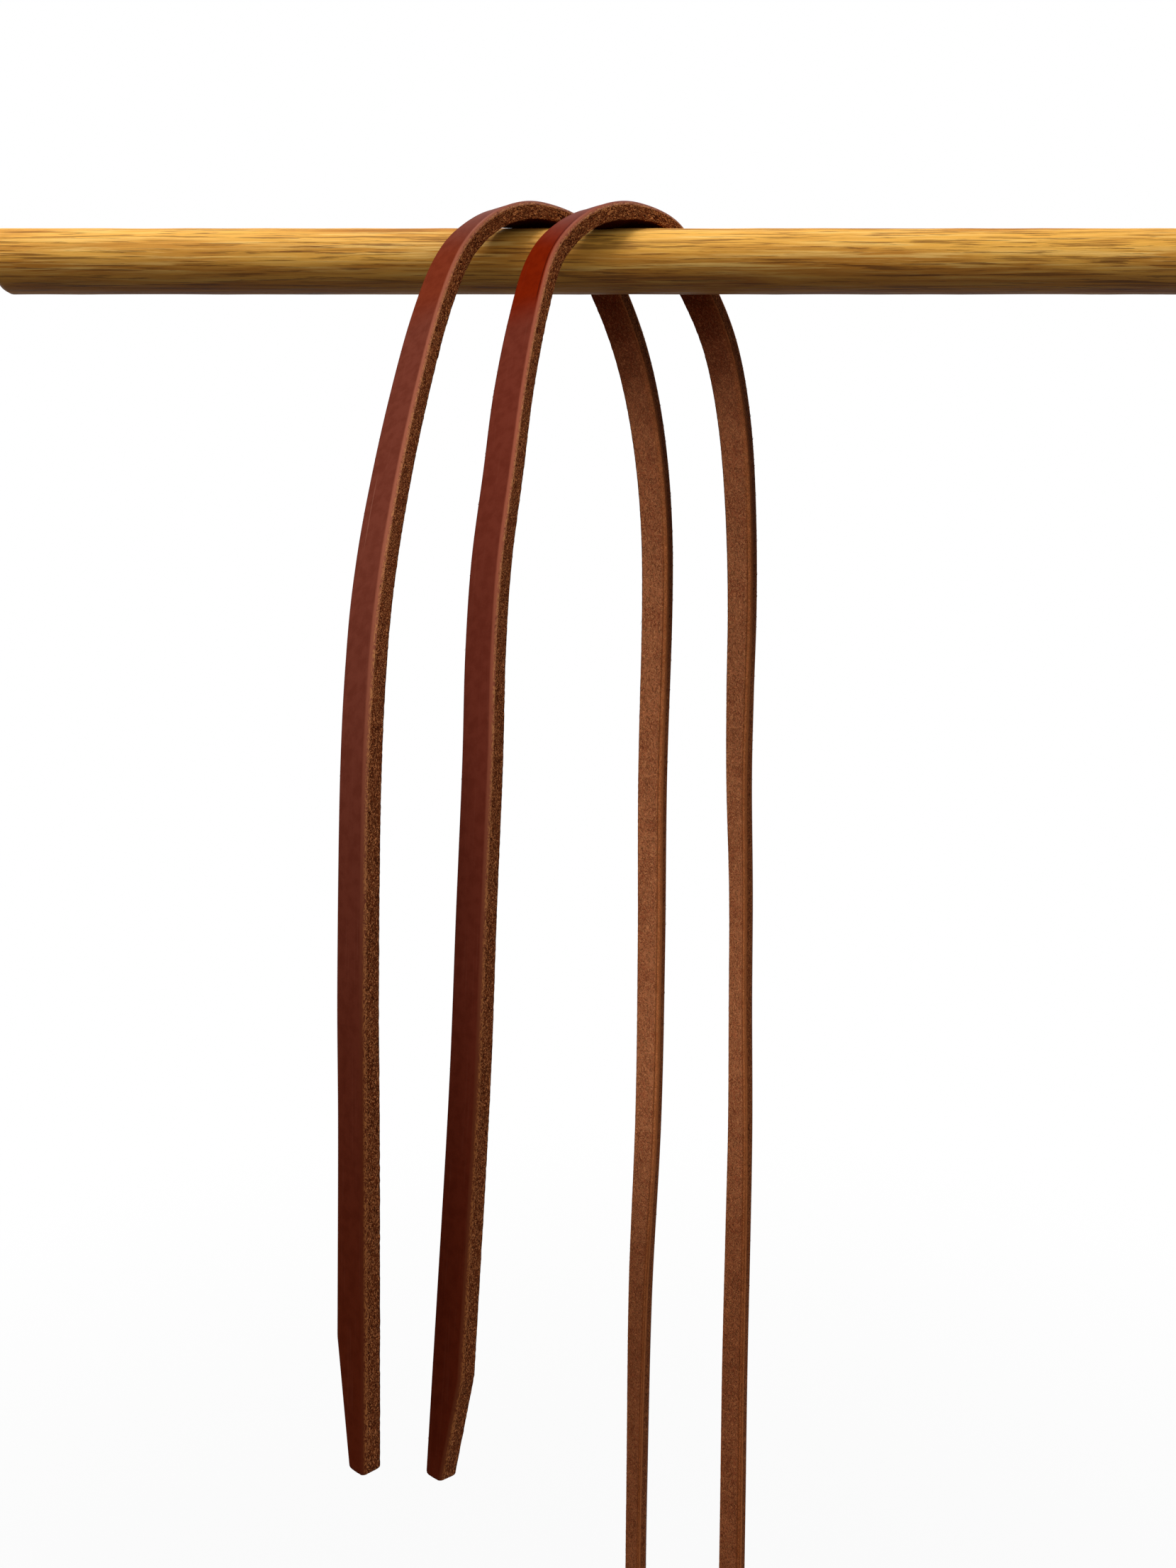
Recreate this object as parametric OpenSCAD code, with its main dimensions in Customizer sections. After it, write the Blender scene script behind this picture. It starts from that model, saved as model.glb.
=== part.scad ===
// A pair of heavy leather straps, hung side by side over a round horizontal rail.
// X runs along the rail, Y from the front legs to the back legs, Z up, and the origin is on the
// rail's axis, midway between the straps. The rail isn't part of the pair.

/* [Leather] */
// Width of each strap
strap_w = 12.7; // [9:0.1:18]
// Thickness of the leather
strap_t = 6; // [3:0.1:8]
// Rounding along the two edges of the smooth grain face
grain_bevel = 0.9; // [0.2:0.1:1.4]
// Rounding along the two edges of the rough flesh face
flesh_bevel = 0.4; // [0.2:0.1:1.4]

/* [Tips] */
// Length of the left strap's slanted tips
left_tip_len = 34; // [15:1:60]
// Length of the right strap's slanted tips
right_tip_len = 30; // [15:1:60]
// Width left at the end of a tip
tip_w = 6.8; // [4:0.1:9]
// Worn rounding at the cut end
tip_bevel = 0.7; // [0.2:0.1:1.2]

/* [Pair] */
// Distance between the straps along the rail
strap_pitch = 34; // [28:1:80]
// Distance from each route to the flesh face, which bears on the rail
seat_depth = 3; // [2:0.1:4]

/* [Hidden] */

strap_colour = [0.36, 0.18, 0.12];
// the side of a strap that a tip slants away from: the one nearer the front, or the other
near_side = 1;
far_side = -1;

// Each route runs from the front tip up over the rail and down to the back tip.
// Each point is [x, y, z, yaw, tilt]: x from the strap's own place on the rail, yaw the turn of the
// strap's width about Z, clockwise from X seen from above, and tilt its rise above the level.
left_route = [
    [-45.5, -152, -323, 44, 0],
    [-45.5, -144, -268, 46, 0],
    [-46, -137, -228, 46, 0],
    [-46, -126, -174, 46, 0],
    [-46, -112, -139, 45, 0],
    [-45.5, -97, -114, 43, 0],
    [-44, -78, -88, 41, 0],
    [-41, -58, -59.5, 40, -2],
    [-36.5, -38, -30, 40, -4],
    [-30.5, -25, -8, 40, -5],
    [-23, -20, 3.5, 40, -3],
    [-13.5, -13.5, 11, 40, 0],
    [-2.5, -3, 15, 42, 2],
    [12, 10, 13, 42, 5],
    [22, 18.5, 1.5, 40, 6],
    [28, 21, -11, 36, 4],
    [34, 26, -25, 32, 0],
    [41, 40, -50, 29, 0],
    [46, 56, -84, 28, 0],
    [47.5, 67, -125, 28, 0],
    [47, 83, -202, 28, 0],
    [48, 99, -288, 28, 0],
    [48, 115, -382, 30, 0],
    [46, 142, -493, 40, 0],
    [45.5, 156, -609, 50, 0],
    [45, 158, -720, 52, 0],
    [45, 158, -978, 52, 0]
];
right_route = [
    [-56, -136, -344, 44, 0],
    [-52, -120, -268, 44, 0],
    [-50.5, -106, -215, 43, 0],
    [-49, -97, -173, 42, 0],
    [-48.5, -88, -140, 41, 0],
    [-47, -80, -112, 40, 0],
    [-44, -67, -83, 38, 0],
    [-41.5, -52, -56, 36, -2],
    [-37.5, -37, -29.5, 38, -4],
    [-32.5, -25, -8, 40, -5],
    [-25, -20, 3.5, 40, -3],
    [-15, -13.5, 11, 40, 0],
    [-3, -3, 15, 42, 2],
    [11.5, 10, 13, 42, 5],
    [21.5, 18.5, 1.5, 40, 6],
    [29.5, 21, -12, 36, 4],
    [36, 27, -26, 34, 0],
    [44, 47, -52, 34, 0],
    [50.5, 74, -86, 36, 0],
    [54.5, 95, -124, 38, 0],
    [57, 115, -165, 40, 0],
    [59.5, 131, -210, 46, 0],
    [63, 142, -270, 53, 0],
    [64, 143, -330, 53, 0],
    [64, 135, -395, 46, 0],
    [62.5, 125, -450, 38, 0],
    [60.5, 113, -520, 34, 0],
    [59.5, 103, -600, 33, 0],
    [59, 98, -690, 32, 0],
    [59, 96, -957, 32, 0]
];
// the stretches that bend over the rail get twice as many rings
bend_first = 8;
bend_last = 15;
bend_steps = 2;

grain_v = seat_depth - strap_t;
flesh_v = seat_depth;

// A smooth curve through b and c, for u from 0 to 1, and its slope.
function curve(a, b, c, d, u) = 0.5 * (2 * b + (c - a) * u + (2 * a - 5 * b + 4 * c - d) * u ^ 2
    + (3 * b - a - 3 * c + d) * u ^ 3);
function curve_slope(a, b, c, d, u) = 0.5 * ((c - a) + 2 * (2 * a - 5 * b + 4 * c - d) * u
    + 3 * (3 * b - a - 3 * c + d) * u ^ 2);

function last(list) = list[len(list) - 1];
function before(route, i) = i > 0 ? route[i - 1] : 2 * route[0] - route[1];
function after(route, i) = i < len(route) - 1 ? route[i + 1] : 2 * last(route) - route[i - 1];
function place(p) = [p[0], p[1], p[2]];
function unit(v) = v / norm(v);

// A frame is [place, direction, across, through, near edge, far edge, end rounding]: across points
// to the near side, through from grain to flesh, and the edges are distances along across.
function level_across(p) = [cos(p[3]) * cos(p[4]), -sin(p[3]) * cos(p[4]), sin(p[4])];
function square_to(v, way) = unit(v - (v * way) * way);
function frame_at(p, way, near, far, inset) =
    let (across = square_to(level_across(p), way))
    [place(p), way, across, cross(way, across), near, far, inset];

function route_frames(route) = [
    for (i = [0 : len(route) - 2])
        let (steps = i >= bend_first && i < bend_last ? bend_steps : 1,
             a = before(route, i), b = route[i], c = route[i + 1], d = after(route, i + 1))
            for (k = [0 : steps - 1])
                frame_at(curve(a, b, c, d, k / steps),
                         unit(place(curve_slope(a, b, c, d, k / steps))),
                         strap_w / 2, -strap_w / 2, 0),
    frame_at(last(route), unit(place(last(route) - route[len(route) - 2])),
             strap_w / 2, -strap_w / 2, 0)
];

// A ring of a slanted tip, a distance out from the end frame of the route; way is 1 or -1.
function tip_frame(f, way, out, tip_len, side, inset) =
    let (cut = (strap_w - tip_w) * out / tip_len)
    [f[0] + way * out * f[1], f[1], f[2], f[3],
     f[4] - (side == near_side ? cut : 0), f[5] + (side == far_side ? cut : 0), inset];

function strap_frames(route, tip_len, side) =
    let (body = route_frames(route), front = body[0], back = last(body))
    concat(
        [tip_frame(front, -1, tip_len, tip_len, side, tip_bevel),
         tip_frame(front, -1, tip_len - tip_bevel, tip_len, side, 0)],
        body,
        [tip_frame(back, 1, tip_len - tip_bevel, tip_len, side, 0),
         tip_frame(back, 1, tip_len, tip_len, side, tip_bevel)]);

// The eight corners of the leather's section, as distances across and through.
function section(near, far, inset) =
    let (n = near - inset, f = far + inset, g = grain_v + inset, h = flesh_v - inset)
    [[n, g + grain_bevel], [n - grain_bevel, g], [f + grain_bevel, g], [f, g + grain_bevel],
     [f, h - flesh_bevel], [f + flesh_bevel, h], [n - flesh_bevel, h], [n, h - flesh_bevel]];

module sweep(frames) {
    sides = len(section(1, -1, 0));
    rings = len(frames);
    points = [for (f = frames, s = section(f[4], f[5], f[6])) f[0] + s[0] * f[2] + s[1] * f[3]];
    walls = [for (r = [0 : rings - 2], s = [0 : sides - 1])
        let (a = r * sides, b = a + sides, t = (s + 1) % sides)
            each [[a + s, a + t, b + t], [a + s, b + t, b + s]]];
    start_cap = [for (s = [sides - 1 : -1 : 0]) s];
    end_cap = [for (s = [0 : sides - 1]) (rings - 1) * sides + s];
    polyhedron(points, concat(walls, [start_cap, end_cap]));
}

// One length of leather: front leg, bend over the rail and back leg.
module left_strap() {
    color(strap_colour)
        translate([-strap_pitch / 2, 0, 0])
            sweep(strap_frames(left_route, left_tip_len, far_side));
}

module right_strap() {
    color(strap_colour)
        translate([strap_pitch / 2, 0, 0])
            sweep(strap_frames(right_route, right_tip_len, near_side));
}

left_strap();
right_strap();
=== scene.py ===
import math

import bpy
import numpy as np
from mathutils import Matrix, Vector, noise


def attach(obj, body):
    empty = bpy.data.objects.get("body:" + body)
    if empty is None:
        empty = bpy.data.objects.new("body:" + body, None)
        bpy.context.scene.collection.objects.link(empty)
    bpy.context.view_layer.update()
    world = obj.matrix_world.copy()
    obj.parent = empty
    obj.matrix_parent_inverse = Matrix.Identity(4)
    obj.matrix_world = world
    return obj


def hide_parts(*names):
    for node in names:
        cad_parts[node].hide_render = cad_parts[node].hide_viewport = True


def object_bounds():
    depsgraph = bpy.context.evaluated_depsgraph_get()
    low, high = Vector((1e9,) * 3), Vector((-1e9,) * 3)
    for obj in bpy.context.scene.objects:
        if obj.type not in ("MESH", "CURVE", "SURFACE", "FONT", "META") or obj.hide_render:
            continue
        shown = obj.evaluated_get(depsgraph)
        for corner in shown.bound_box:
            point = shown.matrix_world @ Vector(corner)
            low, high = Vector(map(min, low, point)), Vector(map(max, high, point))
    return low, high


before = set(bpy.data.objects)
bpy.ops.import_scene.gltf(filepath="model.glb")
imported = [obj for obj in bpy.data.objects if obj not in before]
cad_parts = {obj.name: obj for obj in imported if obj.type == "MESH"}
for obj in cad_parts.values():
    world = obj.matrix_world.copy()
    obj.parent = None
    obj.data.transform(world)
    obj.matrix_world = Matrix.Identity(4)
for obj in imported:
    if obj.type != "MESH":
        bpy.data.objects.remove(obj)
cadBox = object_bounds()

print("frame loaded:", ", ".join(sorted(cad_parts)))


# ---- camera

cameraView = {
    "place": (0.0, -0.436, -0.131),
    "pitchDown": 8.0,  # degrees below level
    "lens": 26.04,
    "sensor": 36.0,
}


def makeCamera(view):
    data = bpy.data.cameras.new("stillCamera")
    data.lens = view["lens"]
    data.sensor_width = view["sensor"]
    camera = bpy.data.objects.new("stillCamera", data)
    camera.location = view["place"]
    camera.rotation_euler = (math.radians(90 - view["pitchDown"]), 0, 0)
    bpy.context.scene.collection.objects.link(camera)
    bpy.context.scene.camera = camera


makeCamera(cameraView)
bpy.context.scene.view_settings.view_transform = "Standard"
print("camera placed")


# ---- strap routes: x, y, z in metres from the strap's own place, then yaw and tilt in degrees

leather = {
    "width": 0.0127,
    "thickness": 0.006,
    "grainBevel": 0.0015,
    "fleshBevel": 0.0004,
    "tipWidth": 0.0068,
    "shoulderPinch": 0.0015,  # the far edge draws in where the front leg leaves the rail
    "endRounding": 0.0011,
    "ringStep": 0.00088,
}

leftStrap = {
    "name": "leftStrap",
    "node": "left_strap",
    "offset": -0.017,
    "tipLength": 0.034,
    "tipSide": -1,  # the far edge slants
    "seed": 3,
    "bulge": 0.0006,  # how far the flesh side swells over the rail
    "route": [
        (-0.0455, -0.152, -0.323, 44, 0),
        (-0.0455, -0.144, -0.268, 46, 0),
        (-0.046, -0.137, -0.228, 46, 0),
        (-0.046, -0.126, -0.174, 46, 0),
        (-0.046, -0.112, -0.139, 45, 0),
        (-0.0455, -0.097, -0.114, 43, 0),
        (-0.044, -0.078, -0.088, 41, 0),
        (-0.041, -0.058, -0.0595, 40, -2),
        (-0.0365, -0.038, -0.03, 40, -4),
        (-0.0305, -0.025, -0.008, 40, -5),
        (-0.023, -0.02, 0.0035, 40, -3),
        (-0.0135, -0.0135, 0.011, 40, 0),
        (-0.0025, -0.003, 0.015, 42, 2),
        (0.012, 0.01, 0.013, 42, 5),
        (0.022, 0.0185, 0.0015, 40, 6),
        (0.028, 0.021, -0.011, 36, 4),
        (0.034, 0.026, -0.025, 32, 0),
        (0.041, 0.04, -0.05, 29, 0),
        (0.046, 0.056, -0.084, 28, 0),
        (0.0475, 0.067, -0.125, 28, 0),
        (0.047, 0.083, -0.202, 28, 0),
        (0.048, 0.099, -0.288, 28, 0),
        (0.048, 0.115, -0.382, 30, 0),
        (0.046, 0.142, -0.493, 40, 0),
        (0.0455, 0.156, -0.609, 50, 0),
        (0.045, 0.158, -0.72, 52, 0),
        (0.045, 0.158, -0.978, 52, 0),
    ],
}

rightStrap = {
    "name": "rightStrap",
    "node": "right_strap",
    "offset": 0.017,
    "tipLength": 0.03,
    "tipSide": 1,  # the near edge slants
    "seed": 8,
    "bulge": 0.0017,
    "route": [
        (-0.056, -0.136, -0.344, 44, 0),
        (-0.052, -0.12, -0.268, 44, 0),
        (-0.0505, -0.106, -0.215, 43, 0),
        (-0.049, -0.097, -0.173, 42, 0),
        (-0.0485, -0.088, -0.14, 41, 0),
        (-0.047, -0.08, -0.112, 40, 0),
        (-0.044, -0.067, -0.083, 38, 0),
        (-0.0415, -0.052, -0.056, 36, -2),
        (-0.0375, -0.037, -0.0295, 38, -4),
        (-0.0325, -0.025, -0.008, 40, -5),
        (-0.025, -0.02, 0.0035, 40, -3),
        (-0.015, -0.0135, 0.011, 40, 0),
        (-0.003, -0.003, 0.015, 42, 2),
        (0.0115, 0.01, 0.013, 42, 5),
        (0.0215, 0.0185, 0.0015, 40, 6),
        (0.0295, 0.021, -0.012, 36, 4),
        (0.036, 0.027, -0.026, 34, 0),
        (0.044, 0.047, -0.052, 34, 0),
        (0.0505, 0.074, -0.086, 36, 0),
        (0.0545, 0.095, -0.124, 38, 0),
        (0.057, 0.115, -0.165, 40, 0),
        (0.0595, 0.131, -0.21, 46, 0),
        (0.063, 0.142, -0.27, 53, 0),
        (0.064, 0.143, -0.33, 53, 0),
        (0.064, 0.135, -0.395, 46, 0),
        (0.0625, 0.125, -0.45, 38, 0),
        (0.0605, 0.113, -0.52, 34, 0),
        (0.0595, 0.103, -0.6, 33, 0),
        (0.059, 0.098, -0.69, 32, 0),
        (0.059, 0.096, -0.957, 32, 0),
    ],
}


def unit(vectors):
    return vectors / np.linalg.norm(vectors, axis=-1, keepdims=True)


# a smooth curve through the route's points, with straight tips added at both ends
def smoothRoute(strap, stepsPerSpan=40):
    points = np.array(strap["route"], float)
    points[:, 0] += strap["offset"]
    padded = np.vstack([2 * points[0] - points[1], points, 2 * points[-1] - points[-2]])
    u = np.arange(stepsPerSpan)[:, None] / stepsPerSpan
    spans = []
    for a, b, c, d in zip(padded, padded[1:], padded[2:], padded[3:]):
        bend = (2 * a - 5 * b + 4 * c - d) * u**2 + (3 * b - a - 3 * c + d) * u**3
        spans.append(0.5 * (2 * b + (c - a) * u + bend))
    line = np.vstack(spans + [points[-1:]])
    front, back = line[0].copy(), line[-1].copy()
    front[:3] += unit(points[0, :3] - points[1, :3]) * strap["tipLength"]
    back[:3] += unit(points[-1, :3] - points[-2, :3]) * strap["tipLength"]
    return np.vstack([front, line, back])


# eases the bend where the back leg leaves the rail
def easeBackLeg(sampled, fromRail):
    reach = 36
    kernel = np.exp(-(np.arange(-reach, reach + 1) / 14) ** 2)
    kernel /= kernel.sum()
    padded = np.pad(sampled, ((reach, reach), (0, 0)), "edge")
    eased = np.stack([np.convolve(padded[:, k], kernel, "valid") for k in range(5)], axis=1)
    share = np.clip((fromRail - 0.02) / 0.014, 0, 1) * np.clip((0.17 - fromRail) / 0.04, 0, 1)
    return sampled + (eased - sampled) * share[:, None]


# rings of the strap at even steps: place, frame, edges and distance from the top of the rail
def strapRings(strap):
    line = smoothRoute(strap)
    travelled = np.concatenate([[0], np.cumsum(np.linalg.norm(np.diff(line[:, :3], axis=0), axis=1))])
    length = travelled[-1]
    radius = leather["endRounding"]
    turn = np.radians(np.arange(4) * 22.5)
    endSteps = radius * (1 - np.cos(turn))
    endInsets = radius * (1 - np.sin(turn))
    count = int((length - 2 * radius) / leather["ringStep"])
    along = np.concatenate([endSteps, np.linspace(radius, length - radius, count), length - endSteps[::-1]])
    inset = np.concatenate([endInsets, np.zeros(count), endInsets[::-1]])
    sampled = np.stack([np.interp(along, travelled, line[:, k]) for k in range(5)], axis=1)
    fromRail = along - along[np.argmax(sampled[:, 2])]
    sampled = easeBackLeg(sampled, fromRail)
    way = unit(np.gradient(sampled[:, :3], axis=0))
    yaw, tilt = np.radians(sampled[:, 3]), np.radians(sampled[:, 4])
    level = np.stack([np.cos(yaw) * np.cos(tilt), -np.sin(yaw) * np.cos(tilt), np.sin(tilt)], axis=1)
    across = unit(level - np.sum(level * way, axis=1, keepdims=True) * way)
    through = np.cross(way, across)
    fromEnd = np.minimum(along, length - along)
    share = np.clip(1 - fromEnd / strap["tipLength"], 0, 1)
    cut = (leather["width"] - leather["tipWidth"]) * share
    half = leather["width"] / 2
    pinch = leather["shoulderPinch"] * np.exp(-((fromRail + 0.028) / 0.012) ** 2)
    return {
        "place": sampled[:, :3],
        "way": way,
        "across": across,
        "through": through,
        "near": half - (cut if strap["tipSide"] > 0 else 0) - inset,
        "far": -half + (cut if strap["tipSide"] < 0 else 0) + inset + pinch,
        "squeeze": 1 - inset / (leather["thickness"] / 2),
        "fromRail": fromRail,
        "along": along,
        "length": length,
    }


# ---- one section of the leather, as points that follow the near and far edges

faceSteps = {"grain": 13, "grainArc": 4, "edge": 9, "fleshArc": 2, "flesh": 13}


# each row: share of near edge, shift across, depth through, outward normal, kind weights
def sectionPoints():
    rg, rf = leather["grainBevel"], leather["fleshBevel"]
    g, f = -leather["thickness"] / 2, leather["thickness"] / 2
    rows, kinds = [], []

    def add(kind, steps, rule):
        for k in range(steps):
            rows.append(rule(k / steps))
            kinds.append(kind)

    def arc(t):
        return math.sin(t * math.pi / 2), math.cos(t * math.pi / 2)

    def farGrain(t):
        s, c = arc(t)
        return 0, rg * (1 - s), g + rg * (1 - c), -s, -c, 0.25 * t

    def farFlesh(t):
        s, c = arc(t)
        return 0, rf * (1 - c), f - rf * (1 - s), -c, s, 0

    def nearFlesh(t):
        s, c = arc(t)
        return 1, -rf * (1 - s), f - rf * (1 - c), s, c, 0

    def nearGrain(t):
        s, c = arc(t)
        return 1, -rg * (1 - c), g + rg * (1 - s), c, -s, 1 - t

    add("grain", faceSteps["grain"], lambda t: (1 - t, rg * (2 * t - 1), g, 0, -1, 0))
    add("grainArc", faceSteps["grainArc"], farGrain)
    add("edge", faceSteps["edge"], lambda t: (0, 0, g + rg + (f - rf - g - rg) * t, -1, 0, 0))
    add("fleshArc", faceSteps["fleshArc"], farFlesh)
    add("flesh", faceSteps["flesh"], lambda t: (t, rf * (1 - 2 * t), f, 0, 1, 0))
    add("fleshArc", faceSteps["fleshArc"], nearFlesh)
    add("edge", faceSteps["edge"], lambda t: (1, 0, f - rf + (g + rg - f + rf) * t, 1, 0, 0))
    add("grainArc", faceSteps["grainArc"], nearGrain)
    return np.array(rows, float), kinds


def noiseAt(points, scale, shift):
    offset = Vector((shift * 7.31, shift * 3.17, shift * 5.71))
    return np.array([noise.noise(Vector(p) * scale + offset) for p in points.tolist()])


relief = {
    "edgeCoarse": 0.0002,  # depth of the torn tufts near the rail
    "edgeFine": 0.00009,
    "flesh": 0.00014,
    "grainWave": 0.00006,
    "crown": 0.00012,
    "lip": 0.00018,  # how far the raw edge sinks under the grain's lip
}


# moves the section's points in and out: rough edges, napped flesh side, nearly flat grain
def surfaceShift(rings, section, kinds, strap):
    ringCount, pointCount = len(rings["along"]), len(section)
    kinds = np.array(kinds)
    edge = np.isin(kinds, ["edge", "fleshArc"]).astype(float)
    flesh = (kinds == "flesh").astype(float)
    grain = (kinds == "grain").astype(float)
    spot = np.zeros((ringCount, pointCount, 3))
    spot[:, :, 0] = section[None, :, 0] * 12.7 + section[None, :, 3] * 2
    spot[:, :, 1] = rings["along"][:, None] * 1000
    spot[:, :, 2] = section[None, :, 2] * 1000
    flat = spot.reshape(-1, 3)
    coarse = noiseAt(flat * np.array([1, 0.55, 1]), 1.1, strap["seed"]).reshape(ringCount, pointCount)
    fine = noiseAt(flat * np.array([1, 0.8, 1]), 2.6, strap["seed"] + 1).reshape(ringCount, pointCount)
    slow = noiseAt(flat * np.array([1, 0.5, 0]), 0.16, strap["seed"] + 2).reshape(ringCount, pointCount)
    nearRail = np.exp(-(rings["fromRail"] / 0.09) ** 2)[:, None]
    calm = 1 - 0.6 * np.clip((rings["fromRail"] - 0.02) / 0.04, 0, 1)[:, None]
    rough = relief["edgeCoarse"] * (0.3 + 1.1 * nearRail) * calm
    shift = edge * (rough * coarse + relief["edgeFine"] * fine - rough * 0.35)
    shift += flesh * relief["flesh"] * (0.7 * coarse + 0.5 * fine - 0.8)
    shift += grain * (relief["grainWave"] * (slow - 0.6) - relief["crown"] * (2 * section[:, 0] - 1) ** 4)
    depth = (section[:, 2] + leather["thickness"] / 2) / leather["thickness"]
    lip = np.exp(-((depth - 0.24) / 0.09) ** 2)
    shift -= edge * lip * relief["lip"]
    return shift


# the squeezed leather swells on its inner side where it bends over the rail
def bulgeShift(rings, section, strap):
    reach = np.exp(-((rings["fromRail"] + 0.011) / 0.0075) ** 2)[:, None]
    half = leather["thickness"] / 2
    share = np.clip((section[:, 2] + half) / (2 * half), 0, 1) ** 2
    return strap["bulge"] * reach * share * (1 - 0.75 * section[:, 0] ** 2)


materialOf = {"grain": 0, "grainArc": 0, "edge": 1, "fleshArc": 1, "flesh": 2}


def storeVectors(mesh, name, values):
    attribute = mesh.attributes.new(name, "FLOAT_VECTOR", "POINT")
    attribute.data.foreach_set("vector", values.astype(np.float32).ravel())


def storeNumbers(mesh, name, values):
    attribute = mesh.attributes.new(name, "FLOAT", "POINT")
    attribute.data.foreach_set("value", values.astype(np.float32).ravel())


def makeObject(name, points, faces, materials, faceMaterials=None):
    mesh = bpy.data.meshes.new(name)
    mesh.from_pydata(points.tolist(), [], faces)
    for material in materials:
        mesh.materials.append(material)
    if faceMaterials is not None:
        mesh.polygons.foreach_set("material_index", faceMaterials)
    mesh.polygons.foreach_set("use_smooth", [True] * len(mesh.polygons))
    mesh.update()
    made = bpy.data.objects.new(name, mesh)
    bpy.context.scene.collection.objects.link(made)
    return made


# closes one end of the strap with shrinking rings of points
def endCap(points, spots, bevels, faces, faceMaterials, ring, flip):
    sides = len(ring)
    centre = points[ring].mean(axis=0)
    centreSpot = spots[ring].mean(axis=0)
    newPoints, newSpots = [], []
    previous = list(ring)
    start = len(points)
    for share in (0.75, 0.45, 0.15):
        current = list(range(start, start + sides))
        newPoints.append(centre + (points[ring] - centre) * share)
        newSpots.append(centreSpot + (spots[ring] - centreSpot) * share)
        for k in range(sides):
            n = (k + 1) % sides
            quad = [previous[k], previous[n], current[n], current[k]]
            faces.append(quad[::-1] if flip else quad)
            faceMaterials.append(1)
        previous = current
        start += sides
    faces.append(previous[::-1] if flip else previous)
    faceMaterials.append(1)
    points = np.vstack([points] + newPoints)
    spots = np.vstack([spots] + newSpots)
    bevels = np.concatenate([bevels, np.zeros(3 * sides)])
    return points, spots, bevels


def makeStrap(strap, rings, materials):
    section, kinds = sectionPoints()
    ringCount, sides = len(rings["along"]), len(section)
    acrossAt = section[:, 0] * rings["near"][:, None] + (1 - section[:, 0]) * rings["far"][:, None]
    acrossAt = acrossAt + section[:, 1]
    throughAt = section[:, 2] * rings["squeeze"][:, None] + bulgeShift(rings, section, strap)
    shift = surfaceShift(rings, section, kinds, strap)
    movedAcross = acrossAt + shift * section[:, 3]
    movedThrough = throughAt + shift * section[:, 4]
    points = rings["place"][:, None, :] + movedAcross[:, :, None] * rings["across"][:, None, :]
    points = (points + movedThrough[:, :, None] * rings["through"][:, None, :]).reshape(-1, 3)
    fromRail = np.repeat(rings["fromRail"][:, None], sides, axis=1)
    spots = np.stack([acrossAt, fromRail, throughAt], axis=2).reshape(-1, 3) * 1000
    bevels = np.tile(section[:, 5], ringCount)
    faces, faceMaterials = [], []
    faceKinds = [materialOf[kind] for kind in kinds]
    for r in range(ringCount - 1):
        a, b = r * sides, (r + 1) * sides
        for s in range(sides):
            n = (s + 1) % sides
            faces.append([a + s, a + n, b + n, b + s])
            faceMaterials.append(faceKinds[s])
    first = np.arange(sides)
    last = first + (ringCount - 1) * sides
    points, spots, bevels = endCap(points, spots, bevels, faces, faceMaterials, first, True)
    points, spots, bevels = endCap(points, spots, bevels, faces, faceMaterials, last, False)
    made = makeObject(strap["name"], points, faces, materials, faceMaterials)
    storeVectors(made.data, "strapSpot", spots)
    storeNumbers(made.data, "bevelShare", bevels)
    return made


# ---- fibres that lie on the raw edges and stick out of them

napSetup = {
    "count": 7600,
    "lengths": (0.0007, 0.0022),
    "radius": (0.00007, 0.00013),
    "steps": 3,
    "railShare": 0.42,  # share of the fibres within reach of the rail
    "railReach": 0.2,
    "strays": 0.003,
}


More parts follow.
